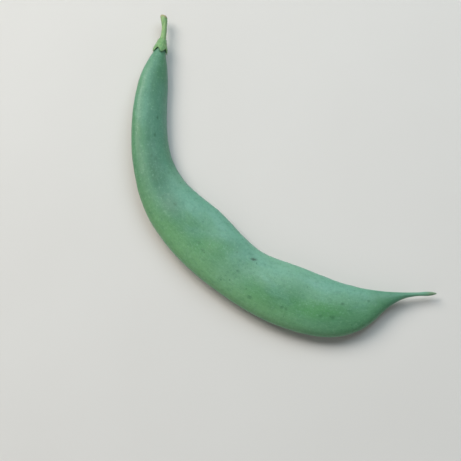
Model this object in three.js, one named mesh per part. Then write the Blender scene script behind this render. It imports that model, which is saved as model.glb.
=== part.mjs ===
// Romano bean: one flat snap-bean pod as picked, with its calyx and a stub of pedicel,
// lying on its side on a level surface. Millimetres, +Z up.
//
// The pod is drawn along a planar centreline that starts at the joint with the calyx and
// ends at the tip of the beak. Every size below that varies along the pod is a short list
// of [distance along the centreline, value].

import * as THREE from 'three';

// ---------------------------------------------------------------- driving dimensions

// Centreline knots: place and heading in degrees.
const CENTRELINE = [
  { x: 0.0, y: 0.0, heading: -58.0 },
  { x: 17.0, y: -22.7, heading: -46.0 },
  { x: 39.2, y: -36.0, heading: -12.5 },
  { x: 53.3, y: -37.2, heading: -3.0 },
  { x: 72.2, y: -36.7, heading: 9.5 },
  { x: 90.1, y: -30.6, heading: 23.0 },
  { x: 101.9, y: -22.8, heading: 49.0 },
  { x: 109.1, y: -11.3, heading: 59.0 },
  { x: 118.5, y: 0.0, heading: 45.0 },
];
const HANDLE_SHARE = 0.343;

// Half the breadth of the flat pod, suture to suture.
const HALF_WIDTH = [
  [0, 1.0], [0.5, 1.55], [1.5, 1.8], [3, 2.1], [6, 3.2], [12, 4.8], [17.5, 5.5], [25, 5.9],
  [33, 6.1], [41, 6.5], [50, 7.5], [60, 9.0], [69, 9.85], [78.5, 9.4], [88.5, 9.0],
  [99.5, 9.8], [109.5, 9.65], [117.5, 8.7], [123.5, 7.2], [128, 5.2], [131.5, 3.5],
  [135, 2.05], [138.3, 1.1], [143.3, 0.6], [148.6, 0.45], [149.4, 0.2],
];

// Half the thickness of the pod wall to wall, between the seeds.
const HALF_THICKNESS = [
  [0, 1.0], [0.5, 1.5], [1.5, 1.75], [3, 2.05], [6, 2.6], [12, 3.1], [20, 3.35], [35, 3.4],
  [60, 3.5], [100, 3.5], [115, 3.4], [122, 3.0], [128, 2.4], [133, 1.7], [138.3, 1.0],
  [143.3, 0.55], [148.6, 0.42], [149.4, 0.2],
];

// Height of the centreline over the surface that the pod lies on.
const AXIS_HEIGHT = [
  [0, 3.6], [18, 3.95], [45, 3.8], [60, 3.8], [100, 3.72], [118, 3.6], [135, 3.3], [149.4, 2.6],
];

// Turn of the section about the centreline, in degrees: the neck is rolled over a little.
const ROLL = [[0, 30], [24, 30], [36, 22], [46, 9], [56, 0], [149.4, 0]];

// Exponent of the section's superellipse: 2 is an ellipse, more is squarer.
const SQUARENESS = [[0, 2], [12, 2.2], [30, 2.3], [60, 2.1], [120, 2.1], [135, 2], [149.4, 2]];

// Seeds under both walls: place along and across, height of the swelling, and the angle at
// which each seed leans from its stalk.
const SEEDS = [
  { along: 27, across: 0.3, rise: 0.3, lean: 15 },
  { along: 43, across: 0.5, rise: 0.4, lean: 20 },
  { along: 61, across: 0.9, rise: 0.65, lean: 25 },
  { along: 80.5, across: 1.2, rise: 0.7, lean: 28 },
  { along: 99, across: 1.2, rise: 0.65, lean: 25 },
  { along: 117, across: 0.6, rise: 0.55, lean: 15 },
];
const SEED_HALF_LENGTH = 8.5;
const SEED_HALF_WIDTH = 6.5;

// Raised string along each suture.
const SUTURE_RIDGE = 0.28;
const RIDGE_START = 8;
const RIDGE_END = 134;

// Calyx: a thin five-toothed cup round the neck of the pod.
const CALYX_TEETH = 5;
const CALYX_GAP = 0.32;
const CALYX_WALL = 0.42;
const CALYX_FLOOR = -0.35;
const CALYX_BASE = -1.9;
const CALYX_NOTCH = 1.5;
const CALYX_TOOTH = 1.5;

// Pedicel: the short stalk behind the calyx, with the swollen end where it was picked.
const PEDICEL_GAP = 0.32;
const PEDICEL_LENGTH = 8.4;
const PEDICEL_BEND = 1.6;
const PEDICEL_RADIUS = [[0, 1.05], [1.5, 0.92], [5, 0.88], [7, 1.1], [8, 1.15], [8.4, 0.85]];

// Fineness of the faceted solids.
const POD_RINGS = 92;
const POD_SIDES = 32;
const END_CROWDING = 0.5;
const CALYX_SIDES = 40;
const CALYX_ROWS = 5;
const PEDICEL_RINGS = 12;
const PEDICEL_SIDES = 14;

// ---------------------------------------------------------------- helpers

/** Smooth curve through a [place, value] list, with no overshoot worth the name. */
function profile(list, place) {
  const last = list.length - 1;
  if (place <= list[0][0]) return list[0][1];
  if (place >= list[last][0]) return list[last][1];
  const slope = (i) => (list[i + 1][1] - list[i][1]) / (list[i + 1][0] - list[i][0]);
  const tangent = (i) => {
    if (i === 0) return slope(0);
    if (i === last) return slope(last - 1);
    const before = list[i][0] - list[i - 1][0];
    const after = list[i + 1][0] - list[i][0];
    return (slope(i - 1) * after + slope(i) * before) / (before + after);
  };
  let k = 0;
  while (place > list[k + 1][0]) k += 1;
  const span = list[k + 1][0] - list[k][0];
  const t = (place - list[k][0]) / span;
  return (
    (2 * t ** 3 - 3 * t ** 2 + 1) * list[k][1] +
    (t ** 3 - 2 * t ** 2 + t) * span * tangent(k) +
    (3 * t ** 2 - 2 * t ** 3) * list[k + 1][1] +
    (t ** 3 - t ** 2) * span * tangent(k + 1)
  );
}

/** Smooth step from 0 to 1 between two places. */
function ease(from, to, place) {
  return THREE.MathUtils.smoothstep(place, from, to);
}

/** One cubic curve for each stretch between two knots of the centreline. */
function drawCentreline(knots) {
  const path = new THREE.CurvePath();
  for (let i = 0; i + 1 < knots.length; i += 1) {
    const start = new THREE.Vector3(knots[i].x, knots[i].y, 0);
    const end = new THREE.Vector3(knots[i + 1].x, knots[i + 1].y, 0);
    const reach = start.distanceTo(end) * HANDLE_SHARE;
    const leave = headingVector(knots[i].heading).multiplyScalar(reach).add(start);
    const arrive = headingVector(knots[i + 1].heading).multiplyScalar(-reach).add(end);
    path.add(new THREE.CubicBezierCurve3(start, leave, arrive, end));
  }
  return path;
}

/** Unit vector in the plane for a heading in degrees. */
function headingVector(degrees) {
  const angle = THREE.MathUtils.degToRad(degrees);
  return new THREE.Vector3(Math.cos(angle), Math.sin(angle), 0);
}

/** Place and directions of the centreline at a distance along it. */
function frameAt(path, along) {
  const share = THREE.MathUtils.clamp(along / path.getLength(), 0, 1);
  const origin = path.getPoint(share);
  origin.z = profile(AXIS_HEIGHT, along);
  const forward = path.getTangent(share).setZ(0).normalize();
  const side = new THREE.Vector3(-forward.y, forward.x, 0);
  return { origin, forward, side };
}

/**
 * Closed body from rings of points: each ring is joined to the next and both ends are
 * closed by a point at the ring's centre.
 */
function skinRings(rings, startPole, endPole) {
  const sides = rings[0].length;
  const points = [startPole, ...rings.flat(), endPole];
  const at = (ring, side) => 1 + ring * sides + (side % sides);
  const faces = [];
  for (let side = 0; side < sides; side += 1) {
    faces.push(0, at(0, side + 1), at(0, side));
    for (let ring = 0; ring + 1 < rings.length; ring += 1) {
      faces.push(at(ring, side), at(ring, side + 1), at(ring + 1, side + 1));
      faces.push(at(ring, side), at(ring + 1, side + 1), at(ring + 1, side));
    }
    faces.push(points.length - 1, at(rings.length - 1, side), at(rings.length - 1, side + 1));
  }
  const geometry = new THREE.BufferGeometry().setFromPoints(points);
  geometry.setIndex(faces);
  geometry.computeVertexNormals();
  return geometry;
}

/** A named mesh with its own plain material. */
function makePiece(name, geometry, color, roughness) {
  const material = new THREE.MeshStandardMaterial({ color, roughness, metalness: 0 });
  const mesh = new THREE.Mesh(geometry, material);
  mesh.name = name;
  return mesh;
}

// ---------------------------------------------------------------- pod

/** How far the seeds push the wall out at a place along and across the pod. */
function seedSwelling(along, across) {
  let rise = 0;
  for (const seed of SEEDS) {
    const lean = THREE.MathUtils.degToRad(seed.lean);
    const dx = along - seed.along;
    const dy = across - seed.across;
    const length = (dx * Math.cos(lean) + dy * Math.sin(lean)) / SEED_HALF_LENGTH;
    const width = (dy * Math.cos(lean) - dx * Math.sin(lean)) / SEED_HALF_WIDTH;
    rise += seed.rise * ease(0, 1, 1 - Math.hypot(length, width));
  }
  return rise;
}

/** Point of the pod's skin at a distance along it and an angle round its section. */
function podPoint(path, along, angle) {
  const power = 2 / profile(SQUARENESS, along);
  const cos = Math.cos(angle);
  const sin = Math.sin(angle);
  const ridge = SUTURE_RIDGE * ease(0, RIDGE_START, along) * (1 - ease(RIDGE_END - 8, RIDGE_END, along));
  const breadth = profile(HALF_WIDTH, along) - ridge;
  const thickness = profile(HALF_THICKNESS, along);
  const across = Math.sign(cos) * (breadth * Math.abs(cos) ** power + ridge * Math.abs(cos) ** 40);
  const share = Math.abs(sin) ** power;
  const up = Math.sign(sin) * share * (thickness + seedSwelling(along, across));
  const roll = THREE.MathUtils.degToRad(profile(ROLL, along));
  const { origin, side } = frameAt(path, along);
  const point = origin.addScaledVector(side, across * Math.cos(roll) + up * Math.sin(roll));
  point.z += up * Math.cos(roll) - across * Math.sin(roll);
  point.z = Math.max(point.z, 0);
  return point;
}

/** The pod with its beak: one grown body, flattened a little where it lies. */
function makePod(path) {
  const length = path.getLength();
  const rings = [];
  for (let i = 0; i <= POD_RINGS; i += 1) {
    const share = i / POD_RINGS;
    const crowded = share - (END_CROWDING * Math.sin(2 * Math.PI * share)) / (2 * Math.PI);
    const ring = [];
    for (let side = 0; side < POD_SIDES; side += 1) {
      ring.push(podPoint(path, length * crowded, (2 * Math.PI * side) / POD_SIDES));
    }
    rings.push(ring);
  }
  const geometry = skinRings(rings, frameAt(path, 0).origin, frameAt(path, length).origin);
  return makePiece('pod', geometry, 0x6aa883, 0.45);
}

// ---------------------------------------------------------------- calyx and pedicel

/** Point at a distance along, across and above the joint of the pod and its calyx. */
function jointPoint(joint, along, across, up) {
  const point = joint.origin.clone();
  point.addScaledVector(joint.forward, along);
  point.addScaledVector(joint.side, across);
  point.z += up;
  return point;
}

/** Radius of the calyx's inner face: the pod's neck and a small gap. */
function calyxInnerRadius(along) {
  const neck = Math.max(profile(HALF_WIDTH, along), profile(HALF_THICKNESS, along));
  return neck + CALYX_GAP;
}

/** The calyx: outer face from the base to the toothed rim, then back down the inside. */
function makeCalyx(path) {
  const joint = frameAt(path, 0);
  const baseRadius = PEDICEL_RADIUS[0][1];
  const rimAt = (angle) => CALYX_NOTCH + CALYX_TOOTH * Math.abs(Math.cos((CALYX_TEETH * angle) / 2)) ** 1.6;
  const rings = [];
  const addRing = (alongAt, radiusAt) => {
    const ring = [];
    for (let side = 0; side < CALYX_SIDES; side += 1) {
      const angle = (2 * Math.PI * side) / CALYX_SIDES;
      const along = alongAt(angle);
      const radius = radiusAt(along);
      ring.push(jointPoint(joint, along, radius * Math.cos(angle), radius * Math.sin(angle)));
    }
    rings.push(ring);
  };
  const outerRadius = (along) => {
    const cup = calyxInnerRadius(Math.max(along, 0.3)) + CALYX_WALL;
    return THREE.MathUtils.lerp(baseRadius, cup, ease(CALYX_BASE, 0.6, along) ** 0.7);
  };
  addRing(() => CALYX_BASE, () => baseRadius);
  for (let row = 1; row <= CALYX_ROWS; row += 1) {
    const share = row / CALYX_ROWS;
    addRing((angle) => THREE.MathUtils.lerp(CALYX_BASE, rimAt(angle), share), outerRadius);
  }
  for (let row = CALYX_ROWS; row >= 0; row -= 1) {
    const share = row / CALYX_ROWS;
    addRing((angle) => THREE.MathUtils.lerp(CALYX_FLOOR, rimAt(angle), share), calyxInnerRadius);
  }
  const start = jointPoint(joint, CALYX_BASE, 0, 0);
  const end = jointPoint(joint, CALYX_FLOOR, 0, 0);
  return makePiece('calyx', skinRings(rings, start, end), 0x5d8f5a, 0.6);
}

/** The pedicel: a slightly bent stalk, swollen where it parted from the plant. */
function makePedicel(path) {
  const joint = frameAt(path, 0);
  const centre = (back) => {
    const sideways = PEDICEL_BEND * (back / PEDICEL_LENGTH) ** 2;
    return { along: CALYX_BASE - PEDICEL_GAP - back, across: -sideways };
  };
  const rings = [];
  for (let i = PEDICEL_RINGS; i >= 0; i -= 1) {
    const back = (PEDICEL_LENGTH * i) / PEDICEL_RINGS;
    const { along, across } = centre(back);
    const radius = profile(PEDICEL_RADIUS, back);
    const ring = [];
    for (let side = 0; side < PEDICEL_SIDES; side += 1) {
      const angle = (2 * Math.PI * side) / PEDICEL_SIDES;
      ring.push(jointPoint(joint, along, across + radius * Math.cos(angle), radius * Math.sin(angle)));
    }
    rings.push(ring);
  }
  const tip = centre(PEDICEL_LENGTH);
  const root = centre(0);
  const start = jointPoint(joint, tip.along, tip.across, 0);
  const end = jointPoint(joint, root.along, root.across, 0);
  return makePiece('pedicel', skinRings(rings, start, end), 0x6f9a5c, 0.6);
}

// ---------------------------------------------------------------- assembly

/** The whole bean, with the middle of its footprint at the origin and its underside at z 0. */
function makeRomanoBean() {
  const path = drawCentreline(CENTRELINE);
  const pieces = new THREE.Group();
  pieces.add(makePod(path), makeCalyx(path), makePedicel(path));
  const box = new THREE.Box3().setFromObject(pieces, true);
  const middle = box.getCenter(new THREE.Vector3());
  pieces.position.set(-middle.x, -middle.y, -box.min.z);
  const bean = new THREE.Group();
  bean.add(pieces);
  return bean;
}

export default makeRomanoBean();
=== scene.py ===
"""Romano bean: the looks of one flat snap-bean pod as picked, lying on its side.

The pod, its calyx and its pedicel are drawn straight, in millimetres, with the joint of pod
and calyx at the origin and the pod running along +X. A bend along the pod's own centreline
then gives them their curve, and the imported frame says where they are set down, in metres.
"""

import logging
import math
from collections.abc import Callable, Iterable
from dataclasses import dataclass, field
from enum import Enum

import bpy
from mathutils import Matrix, Vector

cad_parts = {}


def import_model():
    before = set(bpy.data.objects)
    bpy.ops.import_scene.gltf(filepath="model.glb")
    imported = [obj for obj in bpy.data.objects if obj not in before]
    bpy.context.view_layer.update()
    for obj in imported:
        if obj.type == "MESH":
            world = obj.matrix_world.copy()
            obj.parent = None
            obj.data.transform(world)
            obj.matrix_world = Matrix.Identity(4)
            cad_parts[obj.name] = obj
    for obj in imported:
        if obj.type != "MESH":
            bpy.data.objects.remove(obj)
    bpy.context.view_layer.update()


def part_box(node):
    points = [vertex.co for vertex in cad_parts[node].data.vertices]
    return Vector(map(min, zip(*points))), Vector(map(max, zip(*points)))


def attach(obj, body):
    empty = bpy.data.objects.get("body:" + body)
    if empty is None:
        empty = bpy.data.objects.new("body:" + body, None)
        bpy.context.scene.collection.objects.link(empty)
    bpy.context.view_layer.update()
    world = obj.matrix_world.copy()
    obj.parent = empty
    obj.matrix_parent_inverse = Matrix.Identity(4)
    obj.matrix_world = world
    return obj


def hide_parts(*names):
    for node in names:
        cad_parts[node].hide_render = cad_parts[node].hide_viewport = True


LOG = logging.getLogger("romano_bean")
MM = 0.001
BODY = "root"

Colour = tuple[float, float, float]
Stations = tuple[tuple[float, float], ...]


# ---------------------------------------------------------------- the pod's drawing


@dataclass(frozen=True)
class Profile:
    """A size that varies along the pod: a smooth line through (place, value) stations."""

    stations: Stations

    def slope(self, k: int) -> float:
        """Rise over run between station k and the next."""
        (x0, y0), (x1, y1) = self.stations[k], self.stations[k + 1]
        return (y1 - y0) / (x1 - x0)

    def tangent(self, k: int) -> float:
        """Slope of the smooth line at station k."""
        last = len(self.stations) - 1
        if k == 0:
            return self.slope(0)
        if k == last:
            return self.slope(last - 1)
        before = self.stations[k][0] - self.stations[k - 1][0]
        after = self.stations[k + 1][0] - self.stations[k][0]
        return (self.slope(k - 1) * after + self.slope(k) * before) / (before + after)

    def at(self, place: float) -> float:
        """Value of the profile at a place.

        Args:
            place: distance along the pod in millimetres.

        Returns:
            The value there, held level before the first and after the last station.
        """
        first, last = self.stations[0], self.stations[-1]
        if place <= first[0]:
            return first[1]
        if place >= last[0]:
            return last[1]
        k = 0
        while place > self.stations[k + 1][0]:
            k += 1
        (x0, y0), (x1, y1) = self.stations[k], self.stations[k + 1]
        span = x1 - x0
        t = (place - x0) / span
        return (
            (2 * t**3 - 3 * t**2 + 1) * y0
            + (t**3 - 2 * t**2 + t) * span * self.tangent(k)
            + (3 * t**2 - 2 * t**3) * y1
            + (t**3 - t**2) * span * self.tangent(k + 1)
        )


@dataclass(frozen=True)
class Knot:
    """A knot of the centreline: its place, its heading in degrees, and its height."""

    x: float
    y: float
    heading: float
    height: float


@dataclass(frozen=True)
class Centreline:
    """The curve that the straight-drawn pieces are bent along, in millimetres."""

    knots: tuple[Knot, ...] = (
        Knot(0.0, 0.0, -58.0, 3.6),
        Knot(17.0, -22.7, -46.0, 3.9),
        Knot(39.2, -36.0, -12.5, 3.8),
        Knot(53.3, -37.2, -3.0, 3.8),
        Knot(72.2, -36.7, 9.5, 3.75),
        Knot(90.1, -30.6, 23.0, 3.65),
        Knot(101.9, -22.8, 49.0, 3.45),
        Knot(109.1, -11.3, 59.0, 3.15),
        Knot(118.5, 0.0, 45.0, 2.6),
    )
    handle_share: float = 0.343
    steps: int = 64

    def draw(self) -> bpy.types.Object:
        """Draw the centreline as a Bezier curve.

        Returns:
            The curve object, its up direction kept vertical.
        """
        bpy.ops.curve.primitive_bezier_curve_add()
        curve = bpy.context.object
        curve.name = "centreline"
        curve.data.dimensions = "3D"
        curve.data.twist_mode = "Z_UP"
        curve.data.resolution_u = self.steps
        points = curve.data.splines[0].bezier_points
        points.add(len(self.knots) - len(points))
        for k, knot in enumerate(self.knots):
            here = Vector((knot.x, knot.y, knot.height))
            point = points[k]
            point.handle_left_type = "FREE"
            point.handle_right_type = "FREE"
            point.co = here
            point.handle_left = here - self.reach(k, k - 1)
            point.handle_right = here + self.reach(k, k + 1)
        return curve

    def reach(self, k: int, other: int) -> Vector:
        """Handle of knot k on the side of another knot, along its heading."""
        other = min(max(other, 0), len(self.knots) - 1)
        knot, far = self.knots[k], self.knots[other]
        angle = math.radians(knot.heading)
        span = math.hypot(far.x - knot.x, far.y - knot.y) or 1.0
        return Vector((math.cos(angle), math.sin(angle), 0.0)) * span * self.handle_share


@dataclass(frozen=True)
class Seed:
    """The swelling that one seed makes: place, how far it rises, and how it leans."""

    along: float
    across: float
    rise: float
    lean: float


class Wall(Enum):
    """The two walls of the flat pod."""

    UPPER = 1.0
    LOWER = -1.0


# ---------------------------------------------------------------- modelling by hand


class Bench:
    """The few modelling moves that every piece is made with."""

    @staticmethod
    def clear() -> None:
        """Leave nothing selected, in object mode."""
        if bpy.context.object and bpy.context.object.mode != "OBJECT":
            bpy.ops.object.mode_set(mode="OBJECT")
        bpy.ops.object.select_all(action="DESELECT")

    @staticmethod
    def take(piece: bpy.types.Object) -> None:
        """Select one piece alone and make it the active one."""
        Bench.clear()
        piece.select_set(True)
        bpy.context.view_layer.objects.active = piece

    @staticmethod
    def pick(piece: bpy.types.Object, wanted: Callable[[Vector], bool]) -> int:
        """Select the vertices of a piece whose place meets a test, and enter edit mode.

        Args:
            piece: the mesh object.
            wanted: test of a vertex's place.

        Returns:
            How many vertices were selected.
        """
        if piece.mode != "OBJECT":
            bpy.ops.object.mode_set(mode="OBJECT")
        chosen = [wanted(vertex.co) for vertex in piece.data.vertices]
        for part in (piece.data.polygons, piece.data.edges):
            part.foreach_set("select", [False] * len(part))
        piece.data.vertices.foreach_set("select", chosen)
        bpy.ops.object.mode_set(mode="EDIT")
        bpy.ops.mesh.select_mode(type="VERT")
        return sum(chosen)

    @staticmethod
    def apply(piece: bpy.types.Object, kind: str, **settings: object) -> None:
        """Add one modifier to a piece with its settings and apply it.

        Args:
            piece: the object to work on.
            kind: the modifier's type.
            settings: values for the modifier's properties.
        """
        Bench.take(piece)
        modifier = piece.modifiers.new(kind.lower(), kind)
        for name, value in settings.items():
            setattr(modifier, name, value)
        bpy.ops.object.modifier_apply(modifier=modifier.name)

    @staticmethod
    def smooth(piece: bpy.types.Object, levels: int) -> None:
        """Round a piece with the Subdivision Surface modifier, applied."""
        Bench.apply(piece, "SUBSURF", levels=levels, render_levels=levels)

    @staticmethod
    def roughen(piece: bpy.types.Object, grain: float, height: float) -> None:
        """Push the skin in and out along its normals by a cloudy pattern.

        Args:
            piece: the object to work on.
            grain: size of the pattern in the piece's units.
            height: full range of the push.
        """
        texture = bpy.data.textures.new(f"{piece.name}_grain", "CLOUDS")
        texture.noise_scale = grain
        texture.noise_depth = 1
        Bench.apply(
            piece, "DISPLACE", texture=texture, strength=height, mid_level=0.5,
            texture_coords="LOCAL",
        )
        bpy.data.textures.remove(texture)

    @staticmethod
    def keep_drawing(piece: bpy.types.Object, name: str = "drawn") -> None:
        """Store each vertex's place in the straight drawing, for the finishes to follow."""
        attribute = piece.data.attributes.new(name, "FLOAT_VECTOR", "POINT")
        places = [value for vertex in piece.data.vertices for value in vertex.co]
        attribute.data.foreach_set("vector", places)

    @staticmethod
    def bend(piece: bpy.types.Object, centreline: bpy.types.Object) -> None:
        """Bend a straight piece along the pod's centreline."""
        Bench.apply(piece, "CURVE", object=centreline, deform_axis="POS_X")


@dataclass(frozen=True)
class Section:
    """Half breadth and half thickness of a tube's section at a place along it."""

    along: float
    breadth: float
    thickness: float
    across: float = 0.0
    up: float = 0.0


def draw_tube(name: str, sides: int, sections: Iterable[Section]) -> bpy.types.Object:
    """Extrude a ring of points along +X through a run of sections and close both ends.

    Args:
        name: name of the new piece.
        sides: points round the ring.
        sections: the sections in order of their place along X.

    Returns:
        The closed tube.
    """
    Bench.clear()
    run = list(sections)
    first = run[0]
    bpy.ops.mesh.primitive_circle_add(
        vertices=sides, radius=1.0, fill_type="NOTHING",
        location=(first.along, first.across, first.up), rotation=(0.0, math.pi / 2, 0.0),
    )
    piece = bpy.context.object
    piece.name = name
    piece.data.name = name
    bpy.ops.object.transform_apply(location=True, rotation=True, scale=True)
    bpy.ops.object.mode_set(mode="EDIT")
    bpy.ops.mesh.select_all(action="SELECT")
    bpy.ops.transform.resize(
        value=(1.0, first.breadth, first.thickness),
        center_override=(first.along, first.across, first.up),
    )
    for last, here in zip(run, run[1:]):
        step = (here.along - last.along, here.across - last.across, here.up - last.up)
        bpy.ops.mesh.extrude_edges_move(TRANSFORM_OT_translate={"value": step})
        bpy.ops.transform.resize(
            value=(1.0, here.breadth / last.breadth, here.thickness / last.thickness),
            center_override=(here.along, here.across, here.up),
        )
    for end in (run[-1], run[0]):
        Bench.pick(piece, lambda place, end=end: abs(place.x - end.along) < 1e-4)
        bpy.ops.mesh.extrude_edges_move()
        bpy.ops.mesh.merge(type="CENTER")
    bpy.ops.mesh.select_all(action="SELECT")
    bpy.ops.mesh.normals_make_consistent(inside=False)
    bpy.ops.object.mode_set(mode="OBJECT")
    return piece


def crowded_places(length: float, count: int, crowding: float) -> list[float]:
    """Places along a length that stand closer together near both ends.

    Args:
        length: the whole length.
        count: number of steps.
        crowding: 0 for even steps, towards 1 for closer ends.

    Returns:
        The places, from 0 to the length.
    """
    shares = (k / count for k in range(count + 1))
    return [length * (s - crowding * math.sin(2 * math.pi * s) / (2 * math.pi)) for s in shares]


# ---------------------------------------------------------------- finishes


class Nodes:
    """A material's node tree, with short calls for the nodes that the finishes share."""

    def __init__(self, name: str) -> None:
        """Start a material of that name with one Principled shader."""
        self.material = bpy.data.materials.new(name)
        self.material.use_nodes = True
        self.tree = self.material.node_tree
        self.shader = self.tree.nodes["Principled BSDF"]

    def add(
        self, kind: str, values: dict[str, object] | None = None, **inputs: object,
    ) -> bpy.types.Node:
        """Add a node.

        Args:
            kind: the node's type without its ShaderNode prefix.
            values: settings of the node itself.
            inputs: its sockets, by name with _ for a space, as values or linked outputs.

        Returns:
            The new node.
        """
        node = self.tree.nodes.new("ShaderNode" + kind)
        for name, value in (values or {}).items():
            setattr(node, name, value)
        for name, value in inputs.items():
            self.feed(node.inputs[name.replace("_", " ")], value)
        return node

    def feed(self, socket: bpy.types.NodeSocket, value: object) -> None:
        """Link an output to a socket, or set the socket's own value."""
        if isinstance(value, bpy.types.NodeSocket):
            self.tree.links.new(value, socket)
        else:
            socket.default_value = value

    def math(self, operation: str, first: object, second: object = 0.0) -> bpy.types.NodeSocket:
        """One Math node of two inputs; gives its output."""
        node = self.add("Math", {"operation": operation})
        self.feed(node.inputs[0], first)
        self.feed(node.inputs[1], second)
        return node.outputs[0]

    def ramp(
        self, value: object, low: float, high: float, start: float = 0.0, end: float = 1.0,
    ) -> bpy.types.NodeSocket:
        """Ease a value from one range to another.

        Args:
            value: the value, or the output that gives it.
            low: value at which the result is start.
            high: value at which the result is end.
            start: result at and before low.
            end: result at and after high.

        Returns:
            The eased result.
        """
        node = self.add(
            "MapRange", {"interpolation_type": "SMOOTHSTEP"},
            Value=value, From_Min=low, From_Max=high, To_Min=start, To_Max=end,
        )
        return node.outputs["Result"]

    def noise(
        self, place: object, scale: float, detail: float = 2.0, rough: float = 0.5,
    ) -> bpy.types.NodeSocket:
        """Cloudy noise at a place; gives its factor."""
        node = self.add("TexNoise", Vector=place, Scale=scale, Detail=detail, Roughness=rough)
        return node.outputs["Fac"]

    def stretch(self, place: object, factors: Colour) -> bpy.types.NodeSocket:
        """Multiply a place by three factors, so that a pattern is drawn out."""
        node = self.add("VectorMath", {"operation": "MULTIPLY"})
        self.feed(node.inputs[0], place)
        self.feed(node.inputs[1], factors)
        return node.outputs["Vector"]

    def mix(self, share: object, first: object, second: object) -> bpy.types.NodeSocket:
        """Mix two colours.

        Args:
            share: how much of the second shows.
            first: first colour or output.
            second: second colour or output.

        Returns:
            The mixed colour.
        """
        node = self.tree.nodes.new("ShaderNodeMix")
        node.data_type = "RGBA"
        self.feed(node.inputs[0], share)
        for socket, value in ((node.inputs[6], first), (node.inputs[7], second)):
            self.feed(socket, (*value, 1.0) if isinstance(value, tuple) else value)
        return node.outputs[2]

    def bump(
        self, height: object, distance: float, strength: float, onto: object = None,
    ) -> bpy.types.NodeSocket:
        """Turn a height into a normal.

        Args:
            height: the height's output, from 0 to 1.
            distance: depth of that range in metres.
            strength: share of the effect.
            onto: another bump's normal to build on.

        Returns:
            The bent normal.
        """
        node = self.add("Bump", Height=height, Distance=distance, Strength=strength)
        if onto is not None:
            self.feed(node.inputs["Normal"], onto)
        return node.outputs["Normal"]


@dataclass(frozen=True)
class Fade:
    """An eased change: where it starts, where it is full, and the values at both ends."""

    start: float
    full: float
    most: float = 1.0
    least: float = 0.0

    def of(self, nodes: Nodes, value: object) -> bpy.types.NodeSocket:
        """The eased result for a value."""
        return nodes.ramp(value, self.start, self.full, self.least, self.most)


@dataclass(frozen=True)
class Cloud:
    """A cloudy pattern: how close it is along each axis, its detail, and its fade."""

    closeness: Colour
    detail: float
    rough: float
    fade: Fade

    def of(self, nodes: Nodes, drawn: object) -> bpy.types.NodeSocket:
        """The faded cloud at a place of the drawing."""
        place = nodes.stretch(drawn, self.closeness)
        return self.fade.of(nodes, nodes.noise(place, 1.0, self.detail, self.rough))


@dataclass(frozen=True)
class Relief:
    """A fine unevenness: its closeness along each axis, its detail, depth and strength."""

    closeness: Colour
    detail: float
    depth: float
    strength: float

    def of(self, nodes: Nodes, drawn: object, onto: object = None) -> bpy.types.NodeSocket:
        """The normal that the unevenness gives, on top of another one if any."""
        height = nodes.noise(nodes.stretch(drawn, self.closeness), 1.0, self.detail, 0.6)
        return nodes.bump(height, self.depth, self.strength, onto)


@dataclass(frozen=True)
class Mark:
    """A mark on the pod's upper wall: place, half sizes, depth of tone, and turn in degrees."""

    along: float
    across: float
    long: float
    wide: float
    tone: float
    turn: float = 0.0


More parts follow.
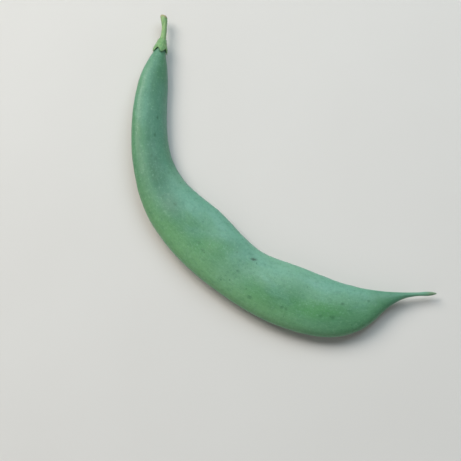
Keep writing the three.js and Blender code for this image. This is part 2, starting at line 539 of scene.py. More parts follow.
@dataclass(frozen=True)
class PodSkin:
    """Satin skin of the pod: a green washed with a painted bluish sky sheen on its inner side and a
    painted warm bounce, partly its own yellowing, on its outer side; painted shade and highlights;
    specks and a few scars.
    """

    leaf: Colour = (0.086, 0.252, 0.112)
    # Painted sky sheen: the bluish green that the inner side is washed towards, standing in for the
    # sky's reflection.
    sky_sheen_tone: Colour = (0.124, 0.312, 0.212)
    # Partly painted warm bounce light from below, partly the pod's own yellowing near its outer
    # suture.
    warm_bounce_and_yellowing: Colour = (0.146, 0.330, 0.136)
    # Painted shade: the saturated darker green of the valleys and lower side, where the sheen is
    # missing.
    valley_shade_green: Colour = (0.062, 0.250, 0.070)
    # Darker green: real mottle, grain and the darker tip, and also painted shade on the neck and in
    # patches.
    deep: Colour = (0.028, 0.130, 0.060)
    # Paler green: real fibres, grain and the suture strings, and also painted highlights and rim
    # light.
    pale: Colour = (0.190, 0.380, 0.240)
    speck: Colour = (0.018, 0.104, 0.040)
    scar: Colour = (0.016, 0.062, 0.024)
    dry: Colour = (0.200, 0.170, 0.070)
    marks: tuple[Mark, ...] = (
        Mark(26.0, 1.0, 0.7, 0.45, 0.60), Mark(32.1, 0.3, 0.8, 0.5, 0.60),
        Mark(39.1, -1.1, 0.6, 0.5, 0.45), Mark(40.3, -0.1, 0.5, 0.5, 0.45),
        Mark(44.5, 2.1, 0.5, 0.4, 0.38), Mark(46.1, 3.2, 0.5, 0.4, 0.38),
        Mark(52.7, -0.8, 0.5, 0.9, 0.38), Mark(56.9, 0.5, 0.8, 0.6, 0.52),
        Mark(71.1, -2.3, 0.6, 0.5, 0.38), Mark(73.4, -3.2, 0.6, 0.5, 0.38),
        Mark(85.7, -1.0, 0.6, 0.5, 0.45), Mark(92.5, -5.8, 0.7, 0.5, 0.52),
        Mark(102.1, -4.7, 0.6, 0.5, 0.45), Mark(103.4, -4.9, 0.5, 0.5, 0.45),
        Mark(113.4, -3.7, 0.6, 0.5, 0.45), Mark(116.6, -3.5, 0.7, 0.6, 0.52),
        Mark(119.4, 0.8, 0.7, 0.5, 0.60), Mark(127.7, 0.6, 0.5, 0.4, 0.45),
    )
    # Painted highlights: pale sheen on the swellings and along the inner edge, where the sky reflects.
    highlight_patches: tuple[Mark, ...] = (
        Mark(84.5, -2.6, 6.5, 5.0, 0.44, turn=25.0), Mark(101.0, 4.5, 9.0, 4.0, 0.22, turn=10.0),
        Mark(88.5, 1.2, 3.5, 2.4, 0.34, turn=20.0), Mark(49.0, 5.6, 5.0, 2.8, 0.40, turn=10.0),
        Mark(97.0, 8.4, 14.0, 2.4, 0.42),
    )
    # Painted shade: darker blots in the hollows between the swellings.
    shade_patches: tuple[Mark, ...] = (
        Mark(78.0, 2.6, 6.5, 3.2, 0.46, turn=33.0), Mark(56.5, -0.8, 5.0, 4.0, 0.50),
        Mark(73.8, -0.4, 6.5, 3.0, 0.42, turn=33.0),
    )
    # Painted shade: saturated green in the diagonal valleys between the swellings and on the outer
    # side.
    valley_shade_patches: tuple[Mark, ...] = (
        Mark(74.0, -0.8, 8.0, 3.2, 0.66, turn=33.0), Mark(112.0, -2.4, 9.0, 3.0, 0.74, turn=8.0),
        Mark(60.0, -5.0, 8.0, 3.0, 0.25, turn=-10.0), Mark(95.0, -3.6, 7.0, 3.0, 0.30, turn=-10.0),
    )
    scar_mark: Mark = Mark(87.5, 5.0, 1.15, 0.50, 0.95, turn=23.0)
    # Cloudy waver of the painted sky sheen's edge.
    drift: Cloud = Cloud((0.06, 0.11, 0.11), 3.0, 0.55, Fade(0.30, 0.70, 5.0, -5.0))
    mottle: Cloud = Cloud((0.35, 0.60, 0.60), 4.0, 0.65, Fade(0.48, 0.72, 0.26))
    fibres: Cloud = Cloud((0.25, 1.90, 1.90), 3.0, 0.60, Fade(0.50, 0.78, 0.12))
    dark_grain: Cloud = Cloud((1.3, 1.3, 1.3), 3.0, 0.75, Fade(0.52, 0.72, 0.30))
    light_grain: Cloud = Cloud((1.3, 1.3, 1.3), 3.0, 0.75, Fade(0.48, 0.28, 0.42))
    satin: Cloud = Cloud((2.6, 2.6, 2.6), 3.0, 0.60, Fade(0.30, 0.70, 0.57, 0.45))
    # Painted sky sheen: how far across the pod, from the outer to the inner edge, the sky sheen tone
    # is mixed in.
    sky_sheen_side: Fade = Fade(-7.0, 7.0)
    # Painted warm bounce and own yellowing: strongest on the outer side, over the span set by
    # warm_from and warm_to.
    bounce_and_yellowing_side: Fade = Fade(-1.5, -7.0, 0.75)
    warm_from: Fade = Fade(30.0, 52.0)
    warm_to: Fade = Fade(122.0, 92.0)
    # Painted shade on the neck's face, turned away from the light: elbow and neck set its span along
    # the pod, outer_face and inner_face ease it off towards both edges.
    elbow: Fade = Fade(64.0, 43.0, 0.80)
    neck: Fade = Fade(42.0, 28.0, 0.34)
    outer_face: Fade = Fade(-3.6, -1.6, 1.0, 0.45)
    inner_face: Fade = Fade(4.5, -0.5, 1.0, 0.62)
    tip: Fade = Fade(124.0, 136.0, 0.35)
    beak_end: Fade = Fade(145.0, 149.0, 0.8)
    speck_spread: float = 0.55
    speck_size: Fade = Fade(0.45, 1.0, 0.17, 0.02)
    speck_edge: Fade = Fade(0.5, 1.1, 0.0, 0.55)
    upper_wall: Fade = Fade(0.2, 0.8)
    # Paler strings along both edges: partly real, partly a painted rim highlight.
    string: Fade = Fade(0.20, 1.00, 0.0, 0.50)
    string_from: Fade = Fade(44.0, 60.0)
    fibre_relief: Relief = Relief((0.12, 2.2, 2.2), 3.0, 0.00012, 0.35)
    leather_relief: Relief = Relief((1.5, 1.5, 1.5), 4.0, 0.00010, 0.45)
    pore_spread: float = 2.4
    pore_edge: Fade = Fade(0.0, 0.35)

    def build(self) -> bpy.types.Material:
        """Build the skin.

        Returns:
            The material, which reads the pod's straight drawing from its "drawn" attribute.
        """
        nodes = Nodes("pod_skin")
        drawn = nodes.add("Attribute", {"attribute_name": "drawn"}).outputs["Vector"]
        axes = nodes.add("SeparateXYZ", Vector=drawn)
        along, up = axes.outputs["X"], axes.outputs["Z"]
        ragged = self.ragged(nodes, drawn)
        colour = self.tones(nodes, drawn, ragged)
        colour = self.specks(nodes, drawn, ragged, up, colour)
        colour = self.sutures(nodes, along, up, colour)
        nodes.feed(nodes.shader.inputs["Base Color"], colour)
        nodes.feed(nodes.shader.inputs["Roughness"], self.satin.of(nodes, drawn))
        nodes.feed(nodes.shader.inputs["Normal"], self.relief(nodes, drawn))
        for socket, value in (
            ("Specular IOR Level", 0.50), ("Subsurface Weight", 0.12), ("Subsurface Scale", 0.0012),
            ("Sheen Weight", 0.10), ("Sheen Roughness", 0.45), ("Coat Weight", 0.14),
            ("Coat Roughness", 0.42),
        ):
            nodes.feed(nodes.shader.inputs[socket], value)
        nodes.shader.inputs["Sheen Tint"].default_value = (0.78, 0.93, 1.0, 1.0)
        nodes.shader.inputs["Subsurface Radius"].default_value = (0.5, 1.0, 0.45)
        return nodes.material

    def tones(self, nodes: Nodes, drawn: object, ragged: object) -> object:
        """The broad greens: a painted sky sheen in clouds over the inner side, a warmer outer side
        that is painted bounce light and partly the pod's own yellowing, painted shade on the neck's
        face, painted highlight and shade patches, and a darker tip.
        """
        axes = nodes.add("SeparateXYZ", Vector=drawn)
        along, across = axes.outputs["X"], axes.outputs["Y"]
        # Painted sky sheen: the inner side washed bluish, its edge wavered by the drift cloud.
        side = nodes.math("ADD", across, self.drift.of(nodes, drawn))
        colour = nodes.mix(self.sky_sheen_side.of(nodes, side), self.leaf, self.sky_sheen_tone)
        # Outer side warmed: partly painted bounce light, partly the pod's own yellowing.
        span = nodes.math("MULTIPLY", self.warm_from.of(nodes, along), self.warm_to.of(nodes, along))
        bounce_and_yellowing = nodes.math("MULTIPLY", self.bounce_and_yellowing_side.of(nodes, across), span)
        colour = nodes.mix(bounce_and_yellowing, colour, self.warm_bounce_and_yellowing)
        # Painted shade on the neck's face, rolled away from the light, weaker towards both edges.
        stem_end = nodes.math("SUBTRACT", self.elbow.of(nodes, along), self.neck.of(nodes, along))
        outer, inner = self.outer_face.of(nodes, across), self.inner_face.of(nodes, across)
        shade = nodes.math("MULTIPLY", stem_end, nodes.math("MULTIPLY", outer, inner))
        colour = nodes.mix(shade, colour, self.deep)
        # Painted highlight, painted shade and painted valley shade, patch by patch.
        patched = (
            (self.highlight_patches, self.pale),
            (self.shade_patches, self.deep),
            (self.valley_shade_patches, self.valley_shade_green),
        )
        for patches, tone in patched:
            for patch in patches:
                colour = nodes.mix(self.spot(nodes, ragged, patch), colour, tone)
        clouds = (
            (self.mottle, self.deep), (self.fibres, self.pale),
            (self.dark_grain, self.deep), (self.light_grain, self.pale),
        )
        for cloud, tone in clouds:
            colour = nodes.mix(cloud.of(nodes, drawn), colour, tone)
        colour = nodes.mix(self.tip.of(nodes, along), colour, self.deep)
        return nodes.mix(self.beak_end.of(nodes, along), colour, self.dry)

    def specks(
        self, nodes: Nodes, drawn: object, ragged: object, up: object, colour: object,
    ) -> object:
        """Fine dark specks all over, the larger ones one by one, and the scar."""
        cells = nodes.add("TexVoronoi", Vector=drawn, Scale=self.speck_spread, Randomness=1.0)
        size = nodes.add("SeparateColor", Color=cells.outputs["Color"])
        reach = self.speck_size.of(nodes, size.outputs[0])
        gone = nodes.math("DIVIDE", cells.outputs["Distance"], reach)
        colour = nodes.mix(self.speck_edge.of(nodes, gone), colour, self.speck)
        upper = self.upper_wall.of(nodes, up)
        dark: object = 0.0
        for mark in self.marks:
            dark = nodes.math("MAXIMUM", dark, self.spot(nodes, ragged, mark))
        colour = nodes.mix(nodes.math("MULTIPLY", dark, upper), colour, self.speck)
        scar = nodes.math("MULTIPLY", self.spot(nodes, ragged, self.scar_mark), upper)
        return nodes.mix(scar, colour, self.scar)

    def ragged(self, nodes: Nodes, drawn: object) -> object:
        """The drawn place, swayed a little, so that marks have ragged edges."""
        sway = nodes.add("TexNoise", Vector=drawn, Scale=2.2, Detail=2.0).outputs["Color"]
        swayed = nodes.add("VectorMath", {"operation": "MULTIPLY_ADD"})
        for socket, value in zip(swayed.inputs, (sway, (0.5, 0.5, 0.0), drawn)):
            nodes.feed(socket, value)
        middle = nodes.add("VectorMath", {"operation": "SUBTRACT"})
        nodes.feed(middle.inputs[0], swayed.outputs["Vector"])
        middle.inputs[1].default_value = (0.25, 0.25, 0.0)
        return middle.outputs["Vector"]

    def spot(self, nodes: Nodes, ragged: object, mark: Mark) -> object:
        """Soft spot round one mark's place, as a share of its tone."""
        shifted = nodes.add("VectorMath", {"operation": "SUBTRACT"})
        nodes.feed(shifted.inputs[0], ragged)
        shifted.inputs[1].default_value = (mark.along, mark.across, 0.0)
        turned = nodes.add(
            "VectorRotate", {"rotation_type": "Z_AXIS"},
            Vector=shifted.outputs["Vector"], Angle=-math.radians(mark.turn),
        )
        shares = (1.0 / mark.long, 1.0 / mark.wide, 0.0)
        scaled = nodes.stretch(turned.outputs["Vector"], shares)
        far = nodes.add("VectorMath", {"operation": "LENGTH"})
        nodes.feed(far.inputs[0], scaled)
        return nodes.ramp(far.outputs["Value"], 0.1, 1.5, mark.tone, 0.0)

    def sutures(self, nodes: Nodes, along: object, up: object, colour: object) -> object:
        """Paler strings along both edges of the pod, partly the real strings and partly a painted rim
        highlight.
        """
        string = self.string.of(nodes, nodes.math("ABSOLUTE", up))
        share = nodes.math("MULTIPLY", string, self.string_from.of(nodes, along))
        return nodes.mix(share, colour, self.pale)

    def relief(self, nodes: Nodes, drawn: object) -> object:
        """Fine relief: lengthwise fibres, pores and a faint leathery grain."""
        fibres = self.fibre_relief.of(nodes, drawn)
        leather = self.leather_relief.of(nodes, drawn, fibres)
        pores = nodes.add("TexVoronoi", Vector=drawn, Scale=self.pore_spread, Randomness=1.0)
        dents = self.pore_edge.of(nodes, pores.outputs["Distance"])
        return nodes.bump(dents, 0.00003, 0.4, leather)


@dataclass(frozen=True)
class StalkSkin:
    """Matt, ribbed green of the calyx and the pedicel, browner where it was torn."""

    name: str
    green: Colour
    light: Colour
    torn: Colour = (0.33, 0.27, 0.14)
    torn_from: float = -1000.0

    def build(self) -> bpy.types.Material:
        """Build the skin.

        Returns:
            The material, which reads the piece's straight drawing from its "drawn" attribute.
        """
        nodes = Nodes(self.name)
        drawn = nodes.add("Attribute", {"attribute_name": "drawn"}).outputs["Vector"]
        along = nodes.add("SeparateXYZ", Vector=drawn).outputs["X"]
        ribs = nodes.noise(nodes.stretch(drawn, (0.25, 2.4, 2.4)), 1.0, 3.0, 0.6)
        colour = nodes.mix(nodes.ramp(ribs, 0.35, 0.68), self.green, self.light)
        dots = nodes.noise(drawn, 3.2, 2.0)
        colour = nodes.mix(nodes.ramp(dots, 0.6, 0.8, 0.0, 0.4), colour, self.torn)
        ragged = nodes.math("ADD", along, nodes.ramp(nodes.noise(drawn, 1.4), 0.3, 0.7, -0.5, 0.5))
        colour = nodes.mix(nodes.ramp(ragged, self.torn_from + 0.9, self.torn_from), colour, self.torn)
        nodes.feed(nodes.shader.inputs["Base Color"], colour)
        nodes.feed(nodes.shader.inputs["Roughness"], nodes.ramp(dots, 0.3, 0.7, 0.52, 0.68))
        normal = nodes.bump(ribs, 0.00020, 0.6)
        nodes.feed(nodes.shader.inputs["Normal"], nodes.bump(dots, 0.00006, 0.5, normal))
        nodes.shader.inputs["Sheen Weight"].default_value = 0.2
        nodes.shader.inputs["Subsurface Weight"].default_value = 0.08
        nodes.shader.inputs["Subsurface Scale"].default_value = 0.0008
        return nodes.material


@dataclass(frozen=True)
class FloorFinish:
    """Plain pale floor with the faintest cloudiness."""

    tone: Colour = (0.66, 0.62, 0.575)
    shade: Colour = (0.63, 0.59, 0.545)

    def build(self) -> bpy.types.Material:
        """Build the floor's material."""
        nodes = Nodes("floor_finish")
        place = nodes.add("TexCoord").outputs["Object"]
        clouds = nodes.noise(place, 18.0, 3.0)
        nodes.feed(nodes.shader.inputs["Base Color"], nodes.mix(clouds, self.tone, self.shade))
        nodes.feed(nodes.shader.inputs["Roughness"], nodes.ramp(clouds, 0.3, 0.7, 0.80, 0.90))
        return nodes.material


# ---------------------------------------------------------------- pieces


@dataclass
class Pod:
    """The pod with its beak, sutures and the swellings over its seeds."""

    half_width: Profile = Profile((
        (0, 1.0), (0.5, 1.55), (1.5, 1.8), (3, 2.1), (6, 3.2), (12, 4.8), (17.5, 5.5), (25, 5.9),
        (33, 6.1), (41, 6.5), (50, 7.5), (60, 9.0), (69, 9.85), (78.5, 9.4), (88.5, 9.0),
        (99.5, 9.8), (109.5, 9.65), (117.5, 8.7), (123.5, 7.2), (128, 5.2), (131.5, 3.5),
        (135, 2.05), (138.3, 1.1), (143.3, 0.6), (148.6, 0.45), (149.4, 0.2),
    ))
    half_thickness: Profile = Profile((
        (0, 1.0), (0.5, 1.5), (1.5, 1.75), (3, 2.05), (6, 2.6), (12, 3.1), (20, 3.35), (35, 3.4),
        (60, 3.5), (100, 3.5), (115, 3.4), (122, 3.0), (128, 2.4), (133, 1.7), (138.3, 1.0),
        (143.3, 0.55), (148.6, 0.42), (149.4, 0.2),
    ))
    roll: Profile = Profile(((0, 30), (24, 30), (36, 22), (46, 9), (56, 0), (149.4, 0)))
    seeds: tuple[Seed, ...] = (
        Seed(27.0, 0.3, 0.30, 15.0), Seed(43.0, 0.5, 0.40, 20.0), Seed(61.0, 0.9, 0.65, 25.0),
        Seed(80.5, 1.2, 0.70, 28.0), Seed(99.0, 1.2, 0.65, 25.0), Seed(117.0, 0.6, 0.55, 15.0),
    )
    length: float = 149.4
    seed_reach: float = 7.4
    seed_half_line: float = 2.6
    seed_line_width: float = 0.8
    ridge: float = 0.14
    ridge_from: float = 46.0
    ridge_to: float = 130.0
    shoulder: float = 1.02
    shoulder_span: tuple[float, float] = (0.45, 0.90)
    unevenness: tuple[tuple[float, float], ...] = ((5.0, 0.16), (1.3, 0.045))
    rings: int = 62
    sides: int = 24
    crowding: float = 0.5
    skin: PodSkin = field(default_factory=PodSkin)

    def make(self, centreline: bpy.types.Object) -> bpy.types.Object:
        """Model the pod straight, then bend it and press its underside flat.

        Args:
            centreline: the curve to bend it along.

        Returns:
            The finished pod, still in millimetres and in the drawing's place.
        """
        pod = self.draw()
        self.square_shoulders(pod)
        Bench.smooth(pod, 1)
        self.raise_sutures(pod)
        for seed in self.seeds:
            for wall in Wall:
                self.swell(pod, seed, wall)
        Bench.keep_drawing(pod)
        self.roll_neck(pod)
        Bench.smooth(pod, 2)
        for grain, height in self.unevenness:
            Bench.roughen(pod, grain, height)
        Bench.bend(pod, centreline)
        self.press_flat(pod)
        Bench.take(pod)
        bpy.ops.object.shade_smooth()
        pod.data.materials.append(self.skin.build())
        return pod

    def draw(self) -> bpy.types.Object:
        """The pod's bare tube: a ring extruded from the neck to the tip of the beak."""
        rounding = 6.0 / (4.0 + 2.0 * math.cos(2 * math.pi / self.sides))
        return draw_tube("bean_pod", self.sides, [
            Section(s, self.half_width.at(s) * rounding, self.half_thickness.at(s) * rounding)
            for s in crowded_places(self.length, self.rings, self.crowding)
        ])

    def square_shoulders(self, pod: bpy.types.Object) -> None:
        """Draw the section's four shoulders out a little, so that its faces are flatter."""
        def on_shoulder(place: Vector) -> bool:
            share = abs(place.y) / self.half_width.at(place.x)
            return self.shoulder_span[0] < share < self.shoulder_span[1]

        Bench.pick(pod, on_shoulder)
        bpy.ops.transform.resize(
            value=(1.0, self.shoulder, self.shoulder), center_override=(0.0, 0.0, 0.0),
        )
        bpy.ops.object.mode_set(mode="OBJECT")

    def raise_sutures(self, pod: bpy.types.Object) -> None:
        """Lift the string that runs along each edge of the pod."""
        for side in (-1.0, 1.0):
            def on_string(place: Vector, side: float = side) -> bool:
                in_span = self.ridge_from < place.x < self.ridge_to
                return in_span and abs(place.z) < 0.12 and place.y * side > 0.5

            Bench.pick(pod, on_string)
            bpy.ops.transform.translate(value=(0.0, side * self.ridge, 0.0))
            bpy.ops.object.mode_set(mode="OBJECT")

    def swell(self, pod: bpy.types.Object, seed: Seed, wall: Wall) -> None:
        """Push one wall out over a seed, with a smooth falloff round the seed's long axis.

        Args:
            pod: the pod, straight and flat.
            seed: the seed under the wall.
            wall: which wall to push.
        """
        lean = math.radians(seed.lean)
        axis = Vector((math.cos(lean), math.sin(lean)))

        def over_seed(place: Vector) -> bool:
            offset = Vector((place.x - seed.along, place.y - seed.across))
            beside = abs(offset.x * axis.y - offset.y * axis.x)
            on_line = abs(offset.dot(axis)) < self.seed_half_line and beside < self.seed_line_width
            return place.z * wall.value > 0.5 and on_line

        Bench.pick(pod, over_seed)
        bpy.ops.transform.translate(
            value=(0.0, 0.0, wall.value * seed.rise), use_proportional_edit=True,
            use_proportional_connected=True, proportional_edit_falloff="SMOOTH",
            proportional_size=self.seed_reach,
        )
        bpy.ops.object.mode_set(mode="OBJECT")

    def roll_neck(self, pod: bpy.types.Object) -> None:
        """Turn the sections near the neck, ring by ring, about the centreline."""
        places = sorted({round(vertex.co.x, 2) for vertex in pod.data.vertices})
        rolled_to = next(place for place, turn in self.roll.stations if turn == 0)
        for ring in (place for place in places if place < rolled_to):
            Bench.pick(pod, lambda place, ring=ring: abs(place.x - ring) < 0.011)
            bpy.ops.transform.rotate(
                value=math.radians(self.roll.at(ring)), orient_axis="X",
                center_override=(ring, 0.0, 0.0),
            )
        bpy.ops.object.mode_set(mode="OBJECT")

    def press_flat(self, pod: bpy.types.Object) -> None:
        """Flatten what would reach below the surface that the pod lies on."""
        if Bench.pick(pod, lambda place: place.z < 0.0):
            bpy.ops.transform.resize(value=(1.0, 1.0, 0.0), center_override=(0.0, 0.0, 0.0))
        bpy.ops.object.mode_set(mode="OBJECT")


@dataclass
class Pedicel:
    """The short ribbed stalk, swollen and torn where it parted from the plant."""

    radius: Profile = Profile((
        (0, 1.05), (1.5, 0.92), (5, 0.88), (7, 1.1), (8, 1.15), (8.4, 0.85),
    ))
    start: float = -2.0
    length: float = 8.5
    bend: float = 1.6
    rings: int = 14
    sides: int = 20
    rib: float = 1.07
    torn_rim: tuple[float, float] = (0.28, -0.22)
    torn_core: tuple[float, float] = (0.18, 0.16)
    skin: StalkSkin = StalkSkin(
        "stalk_skin", (0.150, 0.300, 0.100), (0.250, 0.400, 0.150), torn_from=-10.2,
    )

    def section(self, share: float) -> Section:
        """Section of the stalk at a share of its length from the calyx."""
        back = self.length * share
        radius = self.radius.at(back)
        return Section(self.start - back, radius, radius, -self.bend * share**2)

    def make(self, joint: Matrix) -> bpy.types.Object:
        """Model the stalk: an extruded tube, its ribs drawn out and its end torn.

        Args:
            joint: place and heading of the calyx joint in the drawing.

        Returns:
            The finished pedicel in millimetres.
        """
        sections = [self.section(1.0 - k / self.rings) for k in range(self.rings + 1)]
        stalk = draw_tube("bean_pedicel", self.sides, sections)
        self.draw_ribs(stalk)
        self.tear_end(stalk)
        Bench.smooth(stalk, 2)
        Bench.roughen(stalk, 0.5, 0.10)
        Bench.keep_drawing(stalk)
        stalk.data.transform(joint)
        Bench.take(stalk)
        bpy.ops.object.shade_smooth()
        stalk.data.materials.append(self.skin.build())
        return stalk

    def middle(self, along: float) -> float:
        """How far the stalk's middle has swung to the side at a place."""
        share = min(max((self.start - along) / self.length, 0.0), 1.0)
        return -self.bend * share**2

    def draw_ribs(self, stalk: bpy.types.Object) -> None:
        """Scale every fourth row of points out from the stalk's middle."""
        for k in range(self.rings + 1):
            ring = self.section(1.0 - k / self.rings)

            def on_rib(place: Vector, ring: Section = ring) -> bool:
                if abs(place.x - ring.along) > 0.01:
                    return False
                angle = math.degrees(math.atan2(place.z, place.y - ring.across))
                return round(angle / (360 / self.sides)) % 4 == 0

            Bench.pick(stalk, on_rib)
            bpy.ops.transform.resize(
                value=(1.0, self.rib, self.rib), center_override=(ring.along, ring.across, 0.0),
            )
        bpy.ops.object.mode_set(mode="OBJECT")

    def tear_end(self, stalk: bpy.types.Object) -> None:
        """Inset the end that parted from the plant and sink its middle."""
        end = self.start - self.length
        Bench.pick(stalk, lambda place: place.x < end + 0.01)
        bpy.ops.mesh.select_mode(type="FACE")
        for thickness, depth in (self.torn_rim, self.torn_core):
            bpy.ops.mesh.inset(thickness=thickness, depth=depth)
        bpy.ops.object.mode_set(mode="OBJECT")


@dataclass
class Calyx:
    """The thin cup round the pod's neck, with five short teeth."""

    pod_width: Profile
    teeth: int = 5
    sides: int = 40
    rows: int = 5
    gap: float = 0.22
    wall: float = 0.36
    base: float = -1.9
    base_radius: float = 1.05
    flare: float = 2.5
    fullness: float = 0.7
    notch: float = 1.5
    tooth: float = 1.6
    tooth_point: float = 1.6
    skin: StalkSkin = StalkSkin("calyx_skin", (0.105, 0.250, 0.080), (0.190, 0.350, 0.130))

    def cup_radius(self, along: float) -> float:
        """Radius of the cup's inner face at a place along it."""
        neck = self.pod_width.at(max(along, 0.3)) + self.gap
        share = min(max((along - self.base) / self.flare, 0.0), 1.0)
        eased = (share * share * (3 - 2 * share)) ** self.fullness
        return self.base_radius + (neck - self.base_radius) * eased

    def make(self, joint: Matrix) -> bpy.types.Object:
        """Model the cup: a disc extruded into a flaring cup, toothed, then given its wall.

        Args:
            joint: place and heading of the calyx joint in the drawing.

        Returns:
            The finished calyx in millimetres.
        """
        cup = self.draw_cup()
        self.cut_teeth(cup)
        Bench.apply(cup, "SOLIDIFY", thickness=self.wall, offset=1.0, use_even_offset=True)
        Bench.smooth(cup, 2)
        Bench.roughen(cup, 0.6, 0.08)
        Bench.keep_drawing(cup)
        cup.data.transform(joint)
        Bench.take(cup)
        bpy.ops.object.shade_smooth()
        cup.data.materials.append(self.skin.build())
        return cup

    def draw_cup(self) -> bpy.types.Object:
        """A filled disc at the base, extruded row by row to the notches of the rim."""
        Bench.clear()
        bpy.ops.mesh.primitive_circle_add(
            vertices=self.sides, radius=self.base_radius, fill_type="TRIFAN",
            location=(self.base, 0.0, 0.0), rotation=(0.0, math.pi / 2, 0.0),
        )
        cup = bpy.context.object
        cup.name = "bean_calyx"
        cup.data.name = "bean_calyx"
        bpy.ops.object.transform_apply(location=True, rotation=True, scale=True)
        Bench.pick(cup, lambda place: place.yz.length > 0.5 * self.base_radius)
        bpy.ops.mesh.select_mode(type="EDGE")
        step = (self.notch - self.base) / self.rows
        radius = self.base_radius
        for row in range(1, self.rows + 1):
            along = self.base + step * row
            bpy.ops.mesh.extrude_edges_move(TRANSFORM_OT_translate={"value": (step, 0.0, 0.0)})
            scale = self.cup_radius(along) / radius
            bpy.ops.transform.resize(value=(1.0, scale, scale), center_override=(along, 0.0, 0.0))
            radius *= scale
        bpy.ops.mesh.select_all(action="SELECT")
        bpy.ops.mesh.normals_make_consistent(inside=False)
        bpy.ops.object.mode_set(mode="OBJECT")
        return cup

    def cut_teeth(self, cup: bpy.types.Object) -> None:
        """Draw the rim forward into teeth, most at the middle of each."""
        per_tooth = self.sides // self.teeth
        for step in range(per_tooth // 2):
            turn = step * 360 / self.sides

            def on_tooth(place: Vector, turn: float = turn) -> bool:
                if place.x < self.notch - 0.01:
                    return False
                angle = math.degrees(math.atan2(place.z, place.y)) % (360 / self.teeth)
                from_middle = min(angle, 360 / self.teeth - angle)
                return abs(from_middle - turn) < 1.0

            share = math.cos(math.pi * step / per_tooth) ** self.tooth_point
            forward = self.tooth * share
            grown = self.cup_radius(self.notch + forward) / self.cup_radius(self.notch)
            Bench.pick(cup, on_tooth)
            bpy.ops.transform.translate(value=(forward, 0.0, 0.0))
            bpy.ops.transform.resize(value=(1.0, grown, grown), center_override=(0.0, 0.0, 0.0))
        bpy.ops.object.mode_set(mode="OBJECT")


@dataclass
class Bean:
    """The whole bean: its pieces drawn together and set down where the frame says."""

    centreline: Centreline = field(default_factory=Centreline)
    pod: Pod = field(default_factory=Pod)
    pedicel: Pedicel = field(default_factory=Pedicel)

    def joint(self) -> Matrix:
        """Place and heading of the joint of pod and calyx in the drawing."""
        knot = self.centreline.knots[0]
        turn = Matrix.Rotation(math.radians(knot.heading), 4, "Z")
        return Matrix.Translation((knot.x, knot.y, knot.height)) @ turn

    def make(self) -> dict[str, bpy.types.Object]:
        """Make the three pieces and set them down in the frame.

        Returns:
            The finished pieces, each under the name of the CAD node that it stands for.
        """
        Bench.clear()
        curve = self.centreline.draw()
        pieces = {
            "pod": self.pod.make(curve),
            "calyx": Calyx(self.pod.half_width).make(self.joint()),
            "pedicel": self.pedicel.make(self.joint()),
        }
        bpy.data.objects.remove(curve)
        self.set_down(pieces)
        return pieces

    def set_down(self, pieces: dict[str, bpy.types.Object]) -> None:
        """Scale the drawing to metres and move it so that its pod fills the CAD pod's box.

        Args:
            pieces: the pieces in millimetres, in the drawing's place.
        """
        low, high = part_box("pod")
        places = [vertex.co for vertex in pieces["pod"].data.vertices]
        middle = [(min(p[k] for p in places) + max(p[k] for p in places)) / 2 for k in range(2)]
        centre = (low + high) / 2
        move = Vector((centre.x - middle[0] * MM, centre.y - middle[1] * MM, low.z))
        for node, piece in pieces.items():
            piece.data.transform(Matrix.Translation(move) @ Matrix.Scale(MM, 4))
            piece.data.update()
            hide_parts(node)
            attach(piece, BODY)
            LOG.info("%s: %d faces", piece.name, len(piece.data.polygons))


# ---------------------------------------------------------------- studio


@dataclass(frozen=True)
class SoftLight:
    """A large soft light, placed by compass and height as seen by the camera."""

    name: str
    azimuth: float
    elevation: float
    distance: float
    size: float
    power: float
    colour: Colour


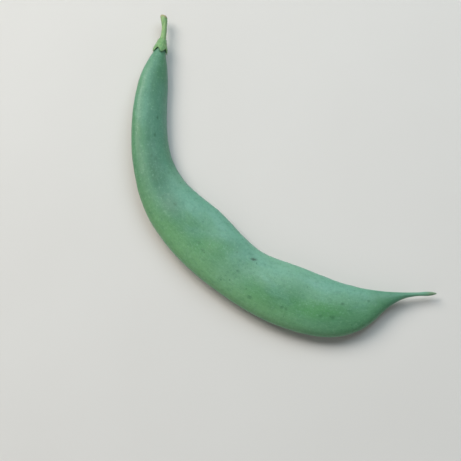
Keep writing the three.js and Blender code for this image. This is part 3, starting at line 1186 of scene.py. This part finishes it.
@dataclass(frozen=True)
class Studio:
    """Plain pale floor, soft lights, and a camera that looks steeply down on the bean."""

    azimuth: float = 43.7
    elevation: float = 74.0
    distance: float = 0.450
    lens: float = 113.4
    aim: tuple[float, float, float] = (0.0036, -0.0102, 0.0045)
    floor_size: float = 3.0
    lights: tuple[SoftLight, ...] = (
        SoftLight("window", 138.0, 44.0, 0.9, 0.60, 7.0, (1.0, 0.98, 0.94)),
        SoftLight("sky_panel", 66.0, 52.0, 1.0, 0.9, 6.0, (0.70, 0.88, 1.0)),
        SoftLight("fill", 250.0, 34.0, 1.0, 0.8, 1.1, (1.0, 0.95, 0.88)),
    )
    sky: Colour = (0.82, 0.90, 1.0)
    sky_strength: float = 0.20

    def direction(self, azimuth: float, elevation: float) -> Vector:
        """Unit vector from the bean towards a compass direction and height."""
        turn, rise = math.radians(azimuth), math.radians(elevation)
        level = math.cos(rise)
        return Vector((math.cos(turn) * level, math.sin(turn) * level, math.sin(rise)))

    def look(self, place: Vector, at: Vector) -> tuple[float, float, float]:
        """Euler turn of something at a place that looks at a point."""
        return tuple((at - place).to_track_quat("-Z", "Y").to_euler())

    def build(self) -> None:
        """Lay the floor and set up the camera, the lights and the sky."""
        self.lay_floor()
        self.place_camera()
        for light in self.lights:
            self.hang(light)
        world = bpy.data.worlds.new("studio_sky")
        world.use_nodes = True
        background = world.node_tree.nodes["Background"]
        background.inputs["Color"].default_value = (*self.sky, 1.0)
        background.inputs["Strength"].default_value = self.sky_strength
        bpy.context.scene.world = world
        bpy.context.scene.view_settings.view_transform = "Standard"

    def lay_floor(self) -> None:
        """A wide floor, just under the surface that the bean rests on."""
        Bench.clear()
        bpy.ops.mesh.primitive_plane_add(size=self.floor_size, location=(0.0, 0.0, -0.00005))
        floor = bpy.context.object
        floor.name = "floor"
        bpy.ops.object.transform_apply(location=True, rotation=True, scale=True)
        floor.data.materials.append(FloorFinish().build())

    def place_camera(self) -> None:
        """The camera, at its own compass direction and height round its aim."""
        aim = Vector(self.aim)
        place = aim + self.direction(self.azimuth - 90.0, self.elevation) * self.distance
        bpy.ops.object.camera_add(location=place, rotation=self.look(place, aim))
        camera = bpy.context.object
        camera.data.lens = self.lens
        camera.data.sensor_width = 36.0
        bpy.context.scene.camera = camera

    def hang(self, light: SoftLight) -> None:
        """Hang one soft light so that it faces the bean."""
        place = self.direction(light.azimuth + self.azimuth, light.elevation) * light.distance
        bpy.ops.object.light_add(type="AREA", location=place, rotation=self.look(place, Vector()))
        lamp = bpy.context.object
        lamp.name = light.name
        lamp.data.shape = "DISK"
        lamp.data.size = light.size
        lamp.data.energy = light.power
        lamp.data.color = light.colour


def main() -> None:
    """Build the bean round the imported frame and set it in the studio."""
    logging.basicConfig(level=logging.INFO, format="%(name)s %(message)s")
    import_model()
    Studio().build()
    pieces = Bean().make()
    LOG.info("%d pieces made", len(pieces))


if __name__ == "__main__":
    main()
